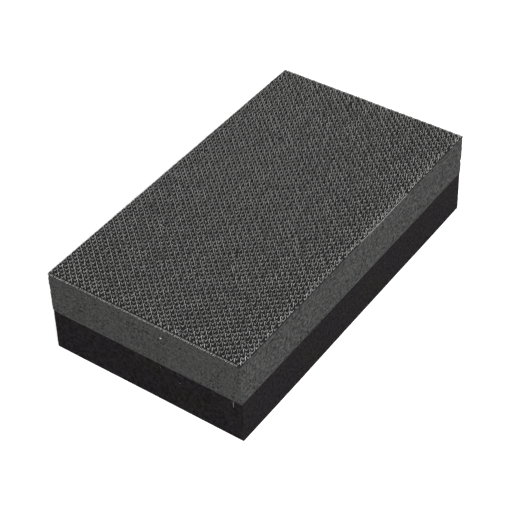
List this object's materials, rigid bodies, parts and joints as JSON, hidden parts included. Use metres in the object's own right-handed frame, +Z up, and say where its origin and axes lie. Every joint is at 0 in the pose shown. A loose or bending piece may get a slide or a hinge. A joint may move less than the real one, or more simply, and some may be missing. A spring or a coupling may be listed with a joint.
{
  "type": "sanding block",
  "caption": "Rectangular foam hand sanding block: a firm slab and a softer slab bonded together, faced with woven hook tape that grips hook-and-loop abrasive sheets.",
  "frame": {"origin": "middle of the flat underside of the firm foam slab", "axes": "+X along the block's length, +Y across its width, +Z up through the layers to the hook facing"},
  "size_m": [0.125, 0.07, 0.0318],
  "materials": {
    "firm_foam": "matt black closed-cell foam, fine cut skin with a few dust specks",
    "soft_foam": "matt dark grey foam with fine open pores on its cut sides",
    "adhesive_film": "thin translucent contact adhesive, seen only as a hairline at the seams",
    "tape_resin": "dark resin back coating of the tape",
    "tape_cloth": "dark grey plain-woven nylon ground cloth",
    "hook_nylon": "satin charcoal nylon monofilament that glints on the bends"
  },
  "bodies": {
    "root": {"firm_foam": "firm_foam", "bond_film": "adhesive_film", "soft_foam": "soft_foam", "facing_adhesive": "adhesive_film", "tape_coating": "tape_resin", "tape_ground": "tape_cloth", "hook_row_01": "hook_nylon", "hook_row_02": "hook_nylon", "hook_row_03": "hook_nylon", "hook_row_04": "hook_nylon", "hook_row_05": "hook_nylon", "hook_row_06": "hook_nylon", "hook_row_07": "hook_nylon", "hook_row_08": "hook_nylon", "hook_row_09": "hook_nylon", "hook_row_10": "hook_nylon", "hook_row_11": "hook_nylon", "hook_row_12": "hook_nylon", "hook_row_13": "hook_nylon", "hook_row_14": "hook_nylon", "hook_row_15": "hook_nylon", "hook_row_16": "hook_nylon", "hook_row_17": "hook_nylon", "hook_row_18": "hook_nylon", "hook_row_19": "hook_nylon", "hook_row_20": "hook_nylon", "hook_row_21": "hook_nylon", "hook_row_22": "hook_nylon", "hook_row_23": "hook_nylon", "hook_row_24": "hook_nylon", "hook_row_25": "hook_nylon", "hook_row_26": "hook_nylon", "hook_row_27": "hook_nylon", "hook_row_28": "hook_nylon", "hook_row_29": "hook_nylon", "hook_row_30": "hook_nylon", "hook_row_31": "hook_nylon", "hook_row_32": "hook_nylon", "hook_row_33": "hook_nylon", "hook_row_34": "hook_nylon", "hook_row_35": "hook_nylon", "hook_row_36": "hook_nylon", "hook_row_37": "hook_nylon", "hook_row_38": "hook_nylon", "hook_row_39": "hook_nylon", "hook_row_40": "hook_nylon", "hook_row_41": "hook_nylon", "hook_row_42": "hook_nylon", "hook_row_43": "hook_nylon", "hook_row_44": "hook_nylon", "hook_row_45": "hook_nylon", "hook_row_46": "hook_nylon", "hook_row_47": "hook_nylon", "hook_row_48": "hook_nylon", "hook_row_49": "hook_nylon", "hook_row_50": "hook_nylon", "hook_row_51": "hook_nylon", "hook_row_52": "hook_nylon", "hook_row_53": "hook_nylon", "hook_row_54": "hook_nylon"}
  },
  "joints": []
}
